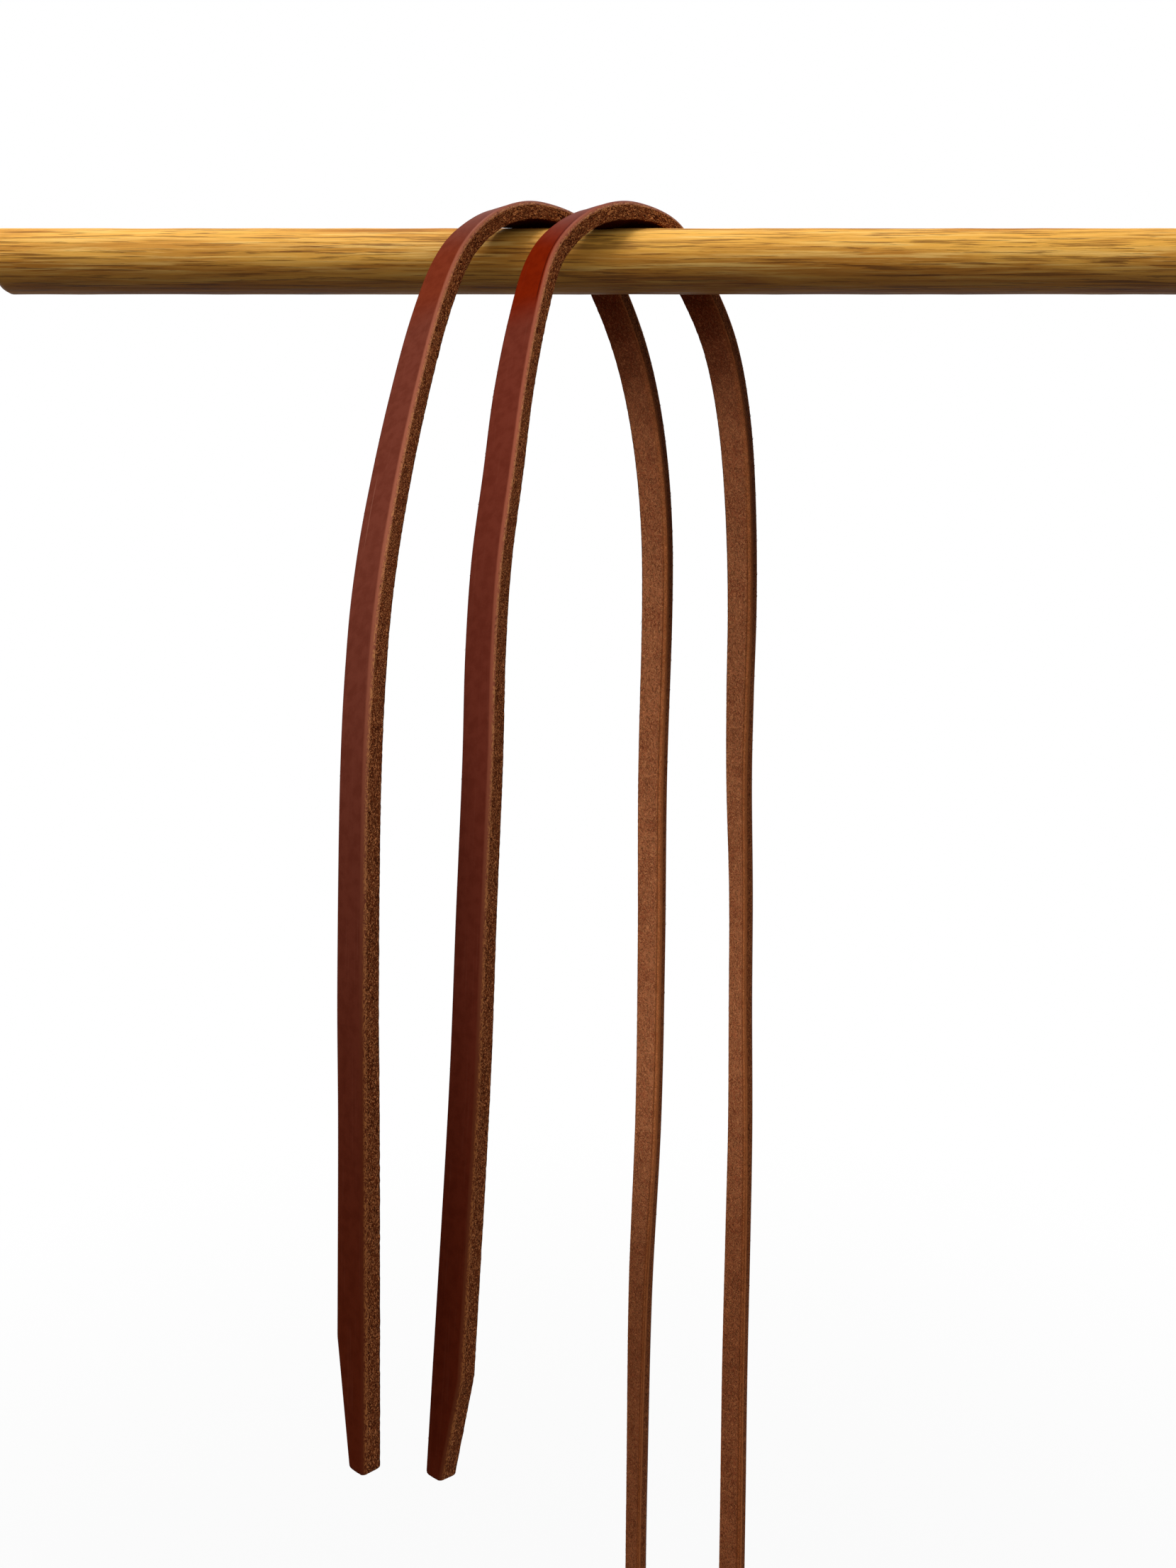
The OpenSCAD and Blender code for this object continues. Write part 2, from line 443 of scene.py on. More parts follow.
def makeNap(strap, rings, material):
    rng = np.random.default_rng(strap["seed"] + 40)
    count, steps = napSetup["count"], napSetup["steps"]
    railHere = int(count * napSetup["railShare"])
    railAt = rings["along"][np.argmax(rings["place"][:, 2])]
    near = railAt + (rng.random(railHere) - 0.5) * 2 * napSetup["railReach"]
    spread = rng.random(count - railHere) * (rings["length"] - 0.004) + 0.002
    along = np.concatenate([near, spread])
    side = np.where(rng.random(count) < 0.6, 1.0, -1.0)
    depth = (rng.random(count) * 0.78 + 0.2) * leather["thickness"] - leather["thickness"] / 2
    stray = rng.random(count) < napSetup["strays"]
    low, high = napSetup["lengths"]
    length = low + (high - low) * rng.random(count) ** 2.2
    slant = rng.normal(0.0, 0.75, count) + np.where(rng.random(count) < 0.5, math.pi, 0)
    lift = np.where(stray, rng.uniform(0.2, 0.7, count), rng.uniform(-0.06, 0.06, count))
    bend = rng.normal(0, 0.7, count)
    width = napSetup["radius"][0] + (napSetup["radius"][1] - napSetup["radius"][0]) * rng.random(count)
    at = np.searchsorted(rings["along"], along).clip(1, len(rings["along"]) - 1)
    way, across, through = rings["way"][at], rings["across"][at], rings["through"][at]
    edge = np.where(side > 0, rings["near"][at], rings["far"][at])
    root = rings["place"][at] + (edge - side * 0.00018)[:, None] * across + depth[:, None] * through
    out = side[:, None] * across
    half = leather["thickness"] / 2
    tone = rng.random(count)
    points, tones, faces = [], [], []
    for step in range(steps + 1):
        t = step / steps
        angle = slant + bend * t
        sunk = np.clip(depth + np.sin(angle) * length * t, -half + 0.0006, half - 0.0005) - depth
        run = (np.cos(angle) * length * t)[:, None] * way + sunk[:, None] * through
        rise = out * (lift * length * t + 0.00012 * math.sin(math.pi * t))[:, None]
        centre = root + run + rise
        thin = (width * (1 - 0.7 * t))[:, None]
        sideways = unit(np.cross(out, run + way * 1e-9))
        for corner in range(3):
            turn = corner * 2 * math.pi / 3
            points.append(centre + thin * (math.cos(turn) * sideways + math.sin(turn) * out))
            tones.append(tone)
    points = np.stack(points, axis=1)
    rows = (steps + 1) * 3
    for fibre in range(count):
        base = fibre * rows
        for step in range(steps):
            for corner in range(3):
                n = (corner + 1) % 3
                a, b = base + step * 3, base + step * 3 + 3
                faces.append([a + corner, a + n, b + n, b + corner])
        faces.append([base + 2, base + 1, base])
        faces.append([base + steps * 3, base + steps * 3 + 1, base + steps * 3 + 2])
    made = makeObject(strap["name"] + "Nap", points.reshape(-1, 3), faces, [material])
    storeNumbers(made.data, "fibreTone", np.stack(tones, axis=1))
    fromRail = np.repeat((along - railAt)[:, None] * 1000, rows, axis=1)
    acrossAt = np.repeat(edge[:, None] * 1000, rows, axis=1)
    depthAt = np.repeat(depth[:, None] * 1000, rows, axis=1)
    storeVectors(made.data, "strapSpot", np.stack([acrossAt, fromRail, depthAt], axis=2))
    return made


# ---- material helpers

def fromScreen(r, g, b):
    def one(c):
        c = c / 255
        return c / 12.92 if c <= 0.04045 else ((c + 0.055) / 1.055) ** 2.4
    return (one(r), one(g), one(b), 1.0)


def addNode(tree, kind, x=0, y=0, settings=None, values=None):
    node = tree.nodes.new(kind)
    node.location = (x, y)
    for name, value in (settings or {}).items():
        setattr(node, name, value)
    for name, value in (values or {}).items():
        node.inputs[name].default_value = value
    return node


def newGroup(name, inputs, outputs):
    tree = bpy.data.node_groups.new(name, "ShaderNodeTree")
    for socketName, kind, value in inputs:
        socket = tree.interface.new_socket(name=socketName, in_out="INPUT", socket_type=kind)
        if value is not None:
            socket.default_value = value
    for socketName, kind in outputs:
        tree.interface.new_socket(name=socketName, in_out="OUTPUT", socket_type=kind)
    return tree, tree.nodes.new("NodeGroupInput"), tree.nodes.new("NodeGroupOutput")


def placeGroup(tree, group, x, y, values=None):
    node = addNode(tree, "ShaderNodeGroup", x, y, {"node_tree": group})
    for name, value in (values or {}).items():
        node.inputs[name].default_value = value
    return node


def newMaterial(name, values):
    material = bpy.data.materials.new(name)
    material.use_nodes = True
    shader = material.node_tree.nodes["Principled BSDF"]
    for socket, value in values.items():
        shader.inputs[socket].default_value = value
    return material, material.node_tree, shader


def mixColours(tree, share, a, b, mode="MIX", x=0, y=0):
    node = addNode(tree, "ShaderNodeMix", x, y, {"data_type": "RGBA", "blend_type": mode})
    for index, value in ((0, share), (6, a), (7, b)):
        if isinstance(value, bpy.types.NodeSocket):
            tree.links.new(value, node.inputs[index])
        else:
            node.inputs[index].default_value = value
    return node.outputs[2]


def mapRange(tree, value, low, high, toLow=0.0, toHigh=1.0, x=0, y=0, smooth=True):
    kind = "SMOOTHSTEP" if smooth else "LINEAR"
    node = addNode(tree, "ShaderNodeMapRange", x, y, {"interpolation_type": kind})
    for name, number in (("From Min", low), ("From Max", high), ("To Min", toLow), ("To Max", toHigh)):
        if isinstance(number, bpy.types.NodeSocket):
            tree.links.new(number, node.inputs[name])
        else:
            node.inputs[name].default_value = number
    tree.links.new(value, node.inputs["Value"])
    return node.outputs["Result"]


def mathNode(tree, operation, a, b=None, x=0, y=0):
    node = addNode(tree, "ShaderNodeMath", x, y, {"operation": operation})
    for index, value in ((0, a), (1, b)):
        if isinstance(value, bpy.types.NodeSocket):
            tree.links.new(value, node.inputs[index])
        elif value is not None:
            node.inputs[index].default_value = value
    return node.outputs[0]


# where a point lies on its strap, in millimetres
def makeStrapPosition():
    outputs = [("Spot", "NodeSocketVector"), ("Across", "NodeSocketFloat"),
               ("From Rail", "NodeSocketFloat"), ("Through", "NodeSocketFloat")]
    tree, _, out = newGroup("strapPosition", [], outputs)
    spot = addNode(tree, "ShaderNodeAttribute", -400, 0, {"attribute_name": "strapSpot"})
    split = addNode(tree, "ShaderNodeSeparateXYZ", -200, -80)
    tree.links.new(spot.outputs["Vector"], split.inputs[0])
    tree.links.new(spot.outputs["Vector"], out.inputs["Spot"])
    for index, name in enumerate(("Across", "From Rail", "Through")):
        tree.links.new(split.outputs[index], out.inputs[name])
    return tree


# fine stretched flecks, as a mask and a height
def makeFibreFlecks():
    inputs = [("Spot", "NodeSocketVector", None), ("Stretch", "NodeSocketVector", (1, 1, 1)),
              ("Scale", "NodeSocketFloat", 1.0), ("Wander", "NodeSocketFloat", 0.5),
              ("Cut Low", "NodeSocketFloat", 0.45), ("Cut High", "NodeSocketFloat", 0.6),
              ("Detail", "NodeSocketFloat", 2.0)]
    tree, into, out = newGroup("fibreFlecks", inputs, [("Mask", "NodeSocketFloat"), ("Height", "NodeSocketFloat")])
    scaled = addNode(tree, "ShaderNodeVectorMath", -500, 0, {"operation": "MULTIPLY"})
    tree.links.new(into.outputs["Spot"], scaled.inputs[0])
    tree.links.new(into.outputs["Stretch"], scaled.inputs[1])
    texture = addNode(tree, "ShaderNodeTexNoise", -300, 0, None, {"Roughness": 0.6})
    tree.links.new(into.outputs["Detail"], texture.inputs["Detail"])
    tree.links.new(scaled.outputs[0], texture.inputs["Vector"])
    tree.links.new(into.outputs["Scale"], texture.inputs["Scale"])
    tree.links.new(into.outputs["Wander"], texture.inputs["Distortion"])
    cut = mapRange(tree, texture.outputs["Fac"], into.outputs["Cut Low"], into.outputs["Cut High"], x=-80)
    tree.links.new(cut, out.inputs["Mask"])
    tree.links.new(texture.outputs["Fac"], out.inputs["Height"])
    return tree


# slow change of tone over a surface
def makeSlowMottle():
    inputs = [("Spot", "NodeSocketVector", None), ("Colour", "NodeSocketColor", (1, 1, 1, 1)),
              ("Tint", "NodeSocketColor", (0.8, 0.8, 0.8, 1)), ("Scale", "NodeSocketFloat", 0.1),
              ("Amount", "NodeSocketFloat", 0.5)]
    tree, into, out = newGroup("slowMottle", inputs, [("Colour", "NodeSocketColor")])
    texture = addNode(tree, "ShaderNodeTexNoise", -500, 0, None, {"Detail": 5.0, "Roughness": 0.6})
    tree.links.new(into.outputs["Spot"], texture.inputs["Vector"])
    tree.links.new(into.outputs["Scale"], texture.inputs["Scale"])
    patch = mapRange(tree, texture.outputs["Fac"], 0.38, 0.66, x=-300)
    share = mathNode(tree, "MULTIPLY", patch, into.outputs["Amount"], x=-150)
    tinted = mixColours(tree, 1.0, into.outputs["Colour"], into.outputs["Tint"], "MULTIPLY", x=-150, y=200)
    tree.links.new(mixColours(tree, share, into.outputs["Colour"], tinted, x=50), out.inputs["Colour"])
    return tree


# blends a tone at the rail into one down the front leg and one down the back leg
def makeLegTone():
    inputs = [("From Rail", "NodeSocketFloat", 0.0), ("Rail Tone", "NodeSocketColor", (1, 1, 1, 1)),
              ("Front Tone", "NodeSocketColor", (1, 1, 1, 1)), ("Back Tone", "NodeSocketColor", (1, 1, 1, 1)),
              ("Front Start", "NodeSocketFloat", -130.0), ("Front End", "NodeSocketFloat", -350.0),
              ("Back Start", "NodeSocketFloat", 20.0), ("Back End", "NodeSocketFloat", 90.0)]
    tree, into, out = newGroup("legTone", inputs, [("Colour", "NodeSocketColor")])
    place = into.outputs["From Rail"]
    front = mapRange(tree, place, into.outputs["Front Start"], into.outputs["Front End"], x=-300)
    back = mapRange(tree, place, into.outputs["Back Start"], into.outputs["Back End"], x=-300, y=-250)
    first = mixColours(tree, front, into.outputs["Rail Tone"], into.outputs["Front Tone"], x=-80)
    tree.links.new(mixColours(tree, back, first, into.outputs["Back Tone"], x=120), out.inputs["Colour"])
    return tree


# a thin line that runs along the strap for part of its length
def makeThinLine():
    inputs = [("Across", "NodeSocketFloat", 0.0), ("From Rail", "NodeSocketFloat", 0.0),
              ("Centre", "NodeSocketFloat", 0.0), ("Half Width", "NodeSocketFloat", 0.3),
              ("Begin", "NodeSocketFloat", 0.0), ("End", "NodeSocketFloat", 1.0), ("Fade", "NodeSocketFloat", 10.0)]
    tree, into, out = newGroup("thinLine", inputs, [("Mask", "NodeSocketFloat")])
    off = mathNode(tree, "SUBTRACT", into.outputs["Across"], into.outputs["Centre"], -700, 200)
    off = mathNode(tree, "ABSOLUTE", off, None, -550, 200)
    core = mapRange(tree, off, into.outputs["Half Width"], 0.0, 0.0, 1.0, -400, 200)
    place = into.outputs["From Rail"]
    beginFull = mathNode(tree, "ADD", into.outputs["Begin"], into.outputs["Fade"], -700, -50)
    endFull = mathNode(tree, "SUBTRACT", into.outputs["End"], into.outputs["Fade"], -700, -250)
    starts = mapRange(tree, place, into.outputs["Begin"], beginFull, 0.0, 1.0, -400, -50)
    stops = mapRange(tree, place, into.outputs["End"], endFull, 0.0, 1.0, -400, -250)
    inside = mathNode(tree, "MULTIPLY", starts, stops, -200, -100)
    tree.links.new(mathNode(tree, "MULTIPLY", core, inside, -50, 100), out.inputs["Mask"])
    return tree


groups = {
    "thinLine": makeThinLine(),
    "position": makeStrapPosition(),
    "flecks": makeFibreFlecks(),
    "mottle": makeSlowMottle(),
    "legTone": makeLegTone(),
}

leftGrain = {
    "name": "leftGrain",
    # railTone to frontTone: painted sheen near the rail and painted shade down the front leg
    "railTone": fromScreen(112, 54, 40),
    "frontTone": fromScreen(82, 29, 13),
    "backTone": fromScreen(88, 38, 24),
    "glow": fromScreen(118, 48, 28),
    "glowSpan": (-84.0, -66.0, -50.0, -34.0),
    "bandRail": fromScreen(154, 88, 66),
    "bandFront": fromScreen(82, 34, 18),
    "line": {"Centre": -2.6, "Half Width": 0.3, "Begin": -176.0, "End": -142.0, "Fade": 9.0},
    "tornTone": {"Rail Tone": fromScreen(196, 132, 84), "Front Tone": fromScreen(150, 92, 50),
                 "Back Tone": fromScreen(96, 48, 24)},
    "lineTone": fromScreen(168, 112, 92),
    "lineShare": 0.3,
    "shader": {"Roughness": 0.4, "Specular IOR Level": 0.0, "Coat Roughness": 0.35},
}

rightGrain = {
    "name": "rightGrain",
    # railTone to frontTone: painted sheen near the rail and painted shade down the front leg
    "railTone": fromScreen(110, 48, 34),
    "frontTone": fromScreen(80, 26, 11),
    "backTone": fromScreen(88, 38, 24),
    "glow": fromScreen(116, 28, 4),
    "glowSpan": (-84.0, -66.0, -48.0, -30.0),
    "bandRail": fromScreen(154, 84, 62),
    "bandFront": fromScreen(88, 40, 22),
    "line": {"Centre": 4.7, "Half Width": 0.4, "Begin": -74.0, "End": -28.0, "Fade": 7.0},
    "tornTone": {"Rail Tone": fromScreen(196, 132, 84), "Front Tone": fromScreen(150, 92, 50),
                 "Back Tone": fromScreen(96, 48, 24)},
    "lineTone": fromScreen(58, 14, 6),
    "lineShare": 0.85,
    "shader": {"Roughness": 0.4, "Specular IOR Level": 0.0, "Coat Roughness": 0.35},
}


def makeGrain(finish):
    material, tree, shader = newMaterial(finish["name"], finish["shader"])
    position = placeGroup(tree, groups["position"], -1500, 0)
    # the tone lightens towards the rail and darkens down the front leg: painted sheen near the rail and painted
    # shade down the leg
    tone = placeGroup(tree, groups["legTone"], -1200, 200, {
        "Rail Tone": finish["railTone"], "Front Tone": finish["frontTone"], "Back Tone": finish["backTone"],
        "Front Start": -180.0, "Front End": -410.0})
    mottled = placeGroup(tree, groups["mottle"], -950, 200, {
        "Tint": (0.72, 0.6, 0.54, 1), "Scale": 0.28, "Amount": 0.55})
    pores = placeGroup(tree, groups["flecks"], -1200, -200, {
        "Stretch": (1.4, 1.0, 1.4), "Scale": 2.4, "Wander": 0.3, "Cut Low": 0.52, "Cut High": 0.72})
    drawn = placeGroup(tree, groups["flecks"], -1200, -450, {
        "Stretch": (1.0, 0.02, 1.0), "Scale": 1.3, "Wander": 0.1, "Cut Low": 0.56, "Cut High": 0.78})
    band = placeGroup(tree, groups["legTone"], -1200, 500, {
        "Rail Tone": finish["bandRail"], "Front Tone": finish["bandFront"], "Back Tone": finish["bandFront"]})
    bevel = addNode(tree, "ShaderNodeAttribute", -1200, 750, {"attribute_name": "bevelShare"})
    links = tree.links
    for group in (tone, band):
        links.new(position.outputs["From Rail"], group.inputs["From Rail"])
    for group in (mottled, pores, drawn):
        links.new(position.outputs["Spot"], group.inputs["Spot"])
    place = position.outputs["From Rail"]
    begins, full, fades, ends = finish["glowSpan"]
    glowShare = mathNode(tree, "MULTIPLY", mapRange(tree, place, begins, full), mapRange(tree, place, ends, fades))
    warm = mixColours(tree, glowShare, tone.outputs["Colour"], finish["glow"], "MIX", -1050, 350)
    links.new(warm, mottled.inputs["Colour"])
    dark = mixColours(tree, 1.0, mottled.outputs["Colour"], (0.62, 0.55, 0.52, 1), "MULTIPLY", -700, 300)
    poreShare = mathNode(tree, "MULTIPLY", pores.outputs["Mask"], 0.3, -900, -200)
    colour = mixColours(tree, poreShare, mottled.outputs["Colour"], dark, "MIX", -500, 200)
    lineShare = mathNode(tree, "MULTIPLY", drawn.outputs["Mask"], 0.05, -900, -450)
    colour = mixColours(tree, lineShare, colour, fromScreen(165, 105, 85), "MIX", -350, 200)
    line = placeGroup(tree, groups["thinLine"], -900, -650, finish["line"])
    for name in ("Across", "From Rail"):
        links.new(position.outputs[name], line.inputs[name])
    lineMask = mathNode(tree, "MULTIPLY", line.outputs["Mask"], finish["lineShare"], -700, -650)
    colour = mixColours(tree, lineMask, colour, finish["lineTone"], "MIX", -300, 350)
    bandShare = mapRange(tree, bevel.outputs["Fac"], 0.08, 0.5)
    bandShare = mathNode(tree, "MULTIPLY", bandShare, mapRange(tree, place, -8.0, -42.0, 0.2, 1.0))
    colour = mixColours(tree, bandShare, colour, band.outputs["Colour"], "MIX", -200, 300)
    torn = placeGroup(tree, groups["flecks"], -1200, -900, {
        "Stretch": (0.8, 0.45, 1.2), "Scale": 1.0, "Wander": 3.0, "Cut Low": 0.46, "Cut High": 0.54})
    links.new(position.outputs["Spot"], torn.inputs["Spot"])
    tornShare = mathNode(tree, "MULTIPLY", torn.outputs["Mask"], mapRange(tree, bevel.outputs["Fac"], 0.5, 0.95))
    tornTone = placeGroup(tree, groups["legTone"], -900, -900, finish["tornTone"])
    links.new(place, tornTone.inputs["From Rail"])
    colour = mixColours(tree, tornShare, colour, tornTone.outputs["Colour"], "MIX", -100, 300)
    links.new(colour, shader.inputs["Base Color"])
    shine = mapRange(tree, place, -50.0, -4.0, 0.008, 0.42, -500, -100)
    links.new(shine, shader.inputs["Coat Weight"])
    bump = addNode(tree, "ShaderNodeBump", -250, -300, None, {"Strength": 0.12, "Distance": 0.0002})
    links.new(pores.outputs["Height"], bump.inputs["Height"])
    links.new(bump.outputs["Normal"], shader.inputs["Normal"])
    return material


edgeFinish = {
    "deep": {"Rail Tone": fromScreen(56, 18, 3), "Front Tone": fromScreen(68, 27, 9),
             "Back Tone": fromScreen(72, 32, 14)},
    "body": {"Rail Tone": fromScreen(106, 50, 22), "Front Tone": fromScreen(98, 45, 20),
             "Back Tone": fromScreen(116, 60, 32)},
    "fleck": {"Rail Tone": fromScreen(204, 130, 76), "Front Tone": fromScreen(188, 118, 72),
              "Back Tone": fromScreen(166, 102, 60)},
    "ridge": fromScreen(170, 100, 56),
    "upperBackShadeTint": (0.42, 0.38, 0.38, 1),  # painted shade on the raw edge along the upper back leg
    "shader": {"Roughness": 0.85, "Specular IOR Level": 0.02},
}


def makeEdge(finish):
    material, tree, shader = newMaterial("rawEdge", finish["shader"])
    position = placeGroup(tree, groups["position"], -1500, 0)
    tones = {}
    for k, name in enumerate(("deep", "body", "fleck")):
        tones[name] = placeGroup(tree, groups["legTone"], -1200, 350 + 300 * k, finish[name])
        tones[name].inputs["Front Start"].default_value = -40.0
        tones[name].inputs["Front End"].default_value = -130.0
        tree.links.new(position.outputs["From Rail"], tones[name].inputs["From Rail"])
    broad = placeGroup(tree, groups["flecks"], -1200, 0, {
        "Stretch": (0.9, 0.6, 1.2), "Wander": 1.4, "Cut Low": 0.38, "Cut High": 0.54})
    thin = placeGroup(tree, groups["flecks"], -1200, -300, {
        "Stretch": (0.8, 0.5, 1.25), "Wander": 3.0, "Detail": 1.5})
    links = tree.links
    for group in (broad, thin):
        links.new(position.outputs["Spot"], group.inputs["Spot"])
    place = position.outputs["From Rail"]
    links.new(mapRange(tree, place, -60.0, -240.0, 0.75, 1.0, -1500, 200), broad.inputs["Scale"])
    links.new(mapRange(tree, place, -60.0, -240.0, 0.95, 1.35, -1500, -200), thin.inputs["Scale"])
    lip = mapRange(tree, position.outputs["Through"], -0.4, -1.9, 0.0, 1.0, -1500, -500)
    links.new(mapRange(tree, lip, 0.0, 1.0, 0.54, 0.45), thin.inputs["Cut Low"])
    links.new(mapRange(tree, lip, 0.0, 1.0, 0.59, 0.52), thin.inputs["Cut High"])
    colour = mixColours(tree, broad.outputs["Mask"], tones["deep"].outputs["Colour"],
                        tones["body"].outputs["Colour"], "MIX", -700, 200)
    fleckShare = mathNode(tree, "MULTIPLY", thin.outputs["Mask"], 0.85, -900, -300)
    colour = mixColours(tree, fleckShare, colour, tones["fleck"].outputs["Colour"], "MIX", -450, 200)
    rim = mapRange(tree, position.outputs["Through"], 1.5, 2.9, 0.0, 0.75, -900, -500)
    rim = mathNode(tree, "MULTIPLY", rim, mapRange(tree, place, 30.0, 110.0), -700, -500)
    colour = mixColours(tree, rim, colour, finish["ridge"], "MIX", -350, 200)
    # painted shade on the raw edge along the upper back leg, below the rail
    upperBackShadeShare = mathNode(tree, "MULTIPLY", mapRange(tree, place, 18.0, 48.0), mapRange(tree, place, 260.0, 130.0))
    shadedEdge = mixColours(tree, 1.0, colour, finish["upperBackShadeTint"], "MULTIPLY", -300, 400)
    colour = mixColours(tree, upperBackShadeShare, colour, shadedEdge, "MIX", -200, 200)
    links.new(colour, shader.inputs["Base Color"])
    height = mathNode(tree, "ADD", broad.outputs["Height"], thin.outputs["Height"], -700, -200)
    bump = addNode(tree, "ShaderNodeBump", -250, -300, None, {"Strength": 0.9, "Distance": 0.0005})
    links.new(height, bump.inputs["Height"])
    links.new(bump.outputs["Normal"], shader.inputs["Normal"])
    return material


fleshFinish = {
    # railTone is dark: painted shade where the rail shades the flesh side
    "railTone": fromScreen(94, 34, 13),
    "frontTone": fromScreen(130, 74, 46),
    "backTone": fromScreen(214, 127, 82),
    "orange": fromScreen(232, 132, 64),
    "edgeTone": fromScreen(150, 84, 46),
    "dark": fromScreen(72, 28, 11),
    "fleck": fromScreen(246, 166, 108),
    "groove": fromScreen(84, 36, 15),
    # painted shade lower down the back leg
    "lowShadeTint": (0.5, 0.45, 0.42, 1),
    "underRailShadeTint": (0.3, 0.2, 0.15, 1),  # painted shade on the flesh side under the bend over the rail
    "shader": {"Roughness": 0.92, "Specular IOR Level": 0.0},
}


def makeFlesh(finish):
    material, tree, shader = newMaterial("fleshSuede", finish["shader"])
    position = placeGroup(tree, groups["position"], -1500, 0)
    # dark near the rail, lighter further down the back leg: painted shade from the rail
    tone = placeGroup(tree, groups["legTone"], -1200, 300, {
        "Rail Tone": finish["railTone"], "Front Tone": finish["frontTone"], "Back Tone": finish["backTone"],
        "Back Start": 40.0, "Back End": 118.0})
    mottled = placeGroup(tree, groups["mottle"], -950, 300, {
        "Tint": (0.74, 0.62, 0.6, 1), "Scale": 0.09, "Amount": 0.85})
    dark = placeGroup(tree, groups["flecks"], -1200, 0, {
        "Stretch": (0.8, 0.5, 1.0), "Scale": 0.6, "Wander": 2.6, "Cut Low": 0.48, "Cut High": 0.58, "Detail": 3.0})
    light = placeGroup(tree, groups["flecks"], -1200, -300, {
        "Stretch": (0.8, 0.5, 1.0), "Scale": 0.75, "Wander": 4.0, "Cut Low": 0.5, "Cut High": 0.6})
    links = tree.links
    links.new(position.outputs["From Rail"], tone.inputs["From Rail"])
    for group in (mottled, dark, light):
        links.new(position.outputs["Spot"], group.inputs["Spot"])
    links.new(tone.outputs["Colour"], mottled.inputs["Colour"])
    place = position.outputs["From Rail"]
    darkAmount = mapRange(tree, place, 45.0, 150.0, 0.22, 0.5, -1100, 0)
    darkShare = mathNode(tree, "MULTIPLY", dark.outputs["Mask"], darkAmount, -900, 0)
    colour = mixColours(tree, darkShare, mottled.outputs["Colour"], finish["dark"], "MIX", -650, 200)
    away = mapRange(tree, place, 45.0, 150.0, 0.08, 0.7, -1100, -600)
    lightShare = mathNode(tree, "MULTIPLY", light.outputs["Mask"], away, -900, -300)
    colour = mixColours(tree, lightShare, colour, finish["fleck"], "MIX", -450, 200)
    ridge = mapRange(tree, position.outputs["Across"], 2.6, 4.6, 0.0, 0.5, -900, -500)
    ridge = mathNode(tree, "MULTIPLY", ridge, away, -700, -500)
    colour = mixColours(tree, ridge, colour, finish["orange"], "MIX", -350, 200)
    rim = mapRange(tree, position.outputs["Across"], 4.9, 6.1, 0.0, 0.75, -900, -620)
    colour = mixColours(tree, rim, colour, finish["edgeTone"], "MIX", -300, 200)
    # darker towards the lower back leg: painted shade
    low = mapRange(tree, place, 400.0, 570.0, 0.0, 1.0, -900, -750)
    colour = mixColours(tree, low, colour, mixColours(tree, 1.0, colour, finish["lowShadeTint"], "MULTIPLY"))
    groove = placeGroup(tree, groups["thinLine"], -900, -1000, {
        "Centre": 3.9, "Half Width": 0.5, "Begin": 90.0, "End": 1300.0, "Fade": 90.0})
    for name in ("Across", "From Rail"):
        links.new(position.outputs[name], groove.inputs[name])
    grooveShare = mathNode(tree, "MULTIPLY", groove.outputs["Mask"], 0.6, -700, -1000)
    colour = mixColours(tree, grooveShare, colour, finish["groove"], "MIX", -150, 600)
    # painted shade on the flesh side where it bends over the rail
    clear = mathNode(tree, "MAXIMUM", mapRange(tree, place, 8.0, 26.0), mapRange(tree, place, -16.0, -34.0))
    shaded = mixColours(tree, 1.0, colour, finish["underRailShadeTint"], "MULTIPLY", -200, 450)
    colour = mixColours(tree, clear, shaded, colour, "MIX", -50, 300)
    links.new(colour, shader.inputs["Base Color"])
    bump = addNode(tree, "ShaderNodeBump", -250, -300, None, {"Strength": 1.0, "Distance": 0.001})
    height = mathNode(tree, "SUBTRACT", light.outputs["Height"], dark.outputs["Height"], -500, -300)
    links.new(height, bump.inputs["Height"])
    links.new(bump.outputs["Normal"], shader.inputs["Normal"])
    return material


napFinish = {
    "dark": fromScreen(88, 36, 14),
    "light": fromScreen(194, 126, 74),
    "legTint": {"Rail Tone": (1, 1, 1, 1), "Front Tone": (0.85, 0.85, 0.85, 1), "Back Tone": (0.5, 0.46, 0.44, 1)},
    "shader": {"Roughness": 0.8, "Specular IOR Level": 0.02},
}


def makeNapMaterial(finish):
    material, tree, shader = newMaterial("edgeNap", finish["shader"])
    tone = addNode(tree, "ShaderNodeAttribute", -700, 0, {"attribute_name": "fibreTone"})
    position = placeGroup(tree, groups["position"], -1000, -250)
    mottled = placeGroup(tree, groups["mottle"], -300, 0, {
        "Tint": (0.7, 0.62, 0.55, 1), "Scale": 0.3, "Amount": 0.8})
    share = mapRange(tree, tone.outputs["Fac"], 0.1, 1.0, x=-500)
    colour = mixColours(tree, share, finish["dark"], finish["light"], "MIX", -450, 200)
    tree.links.new(position.outputs["Spot"], mottled.inputs["Spot"])
    tree.links.new(colour, mottled.inputs["Colour"])
    tint = placeGroup(tree, groups["legTone"], -500, -450, finish["legTint"])
    tree.links.new(position.outputs["From Rail"], tint.inputs["From Rail"])
    colour = mixColours(tree, 1.0, mottled.outputs["Colour"], tint.outputs["Colour"], "MULTIPLY", -100, 0)
    tree.links.new(colour, shader.inputs["Base Color"])
    return material


edgeMaterial = makeEdge(edgeFinish)
fleshMaterial = makeFlesh(fleshFinish)
napMaterial = makeNapMaterial(napFinish)
print("materials made:", ", ".join(m.name for m in bpy.data.materials))


# ---- the two straps

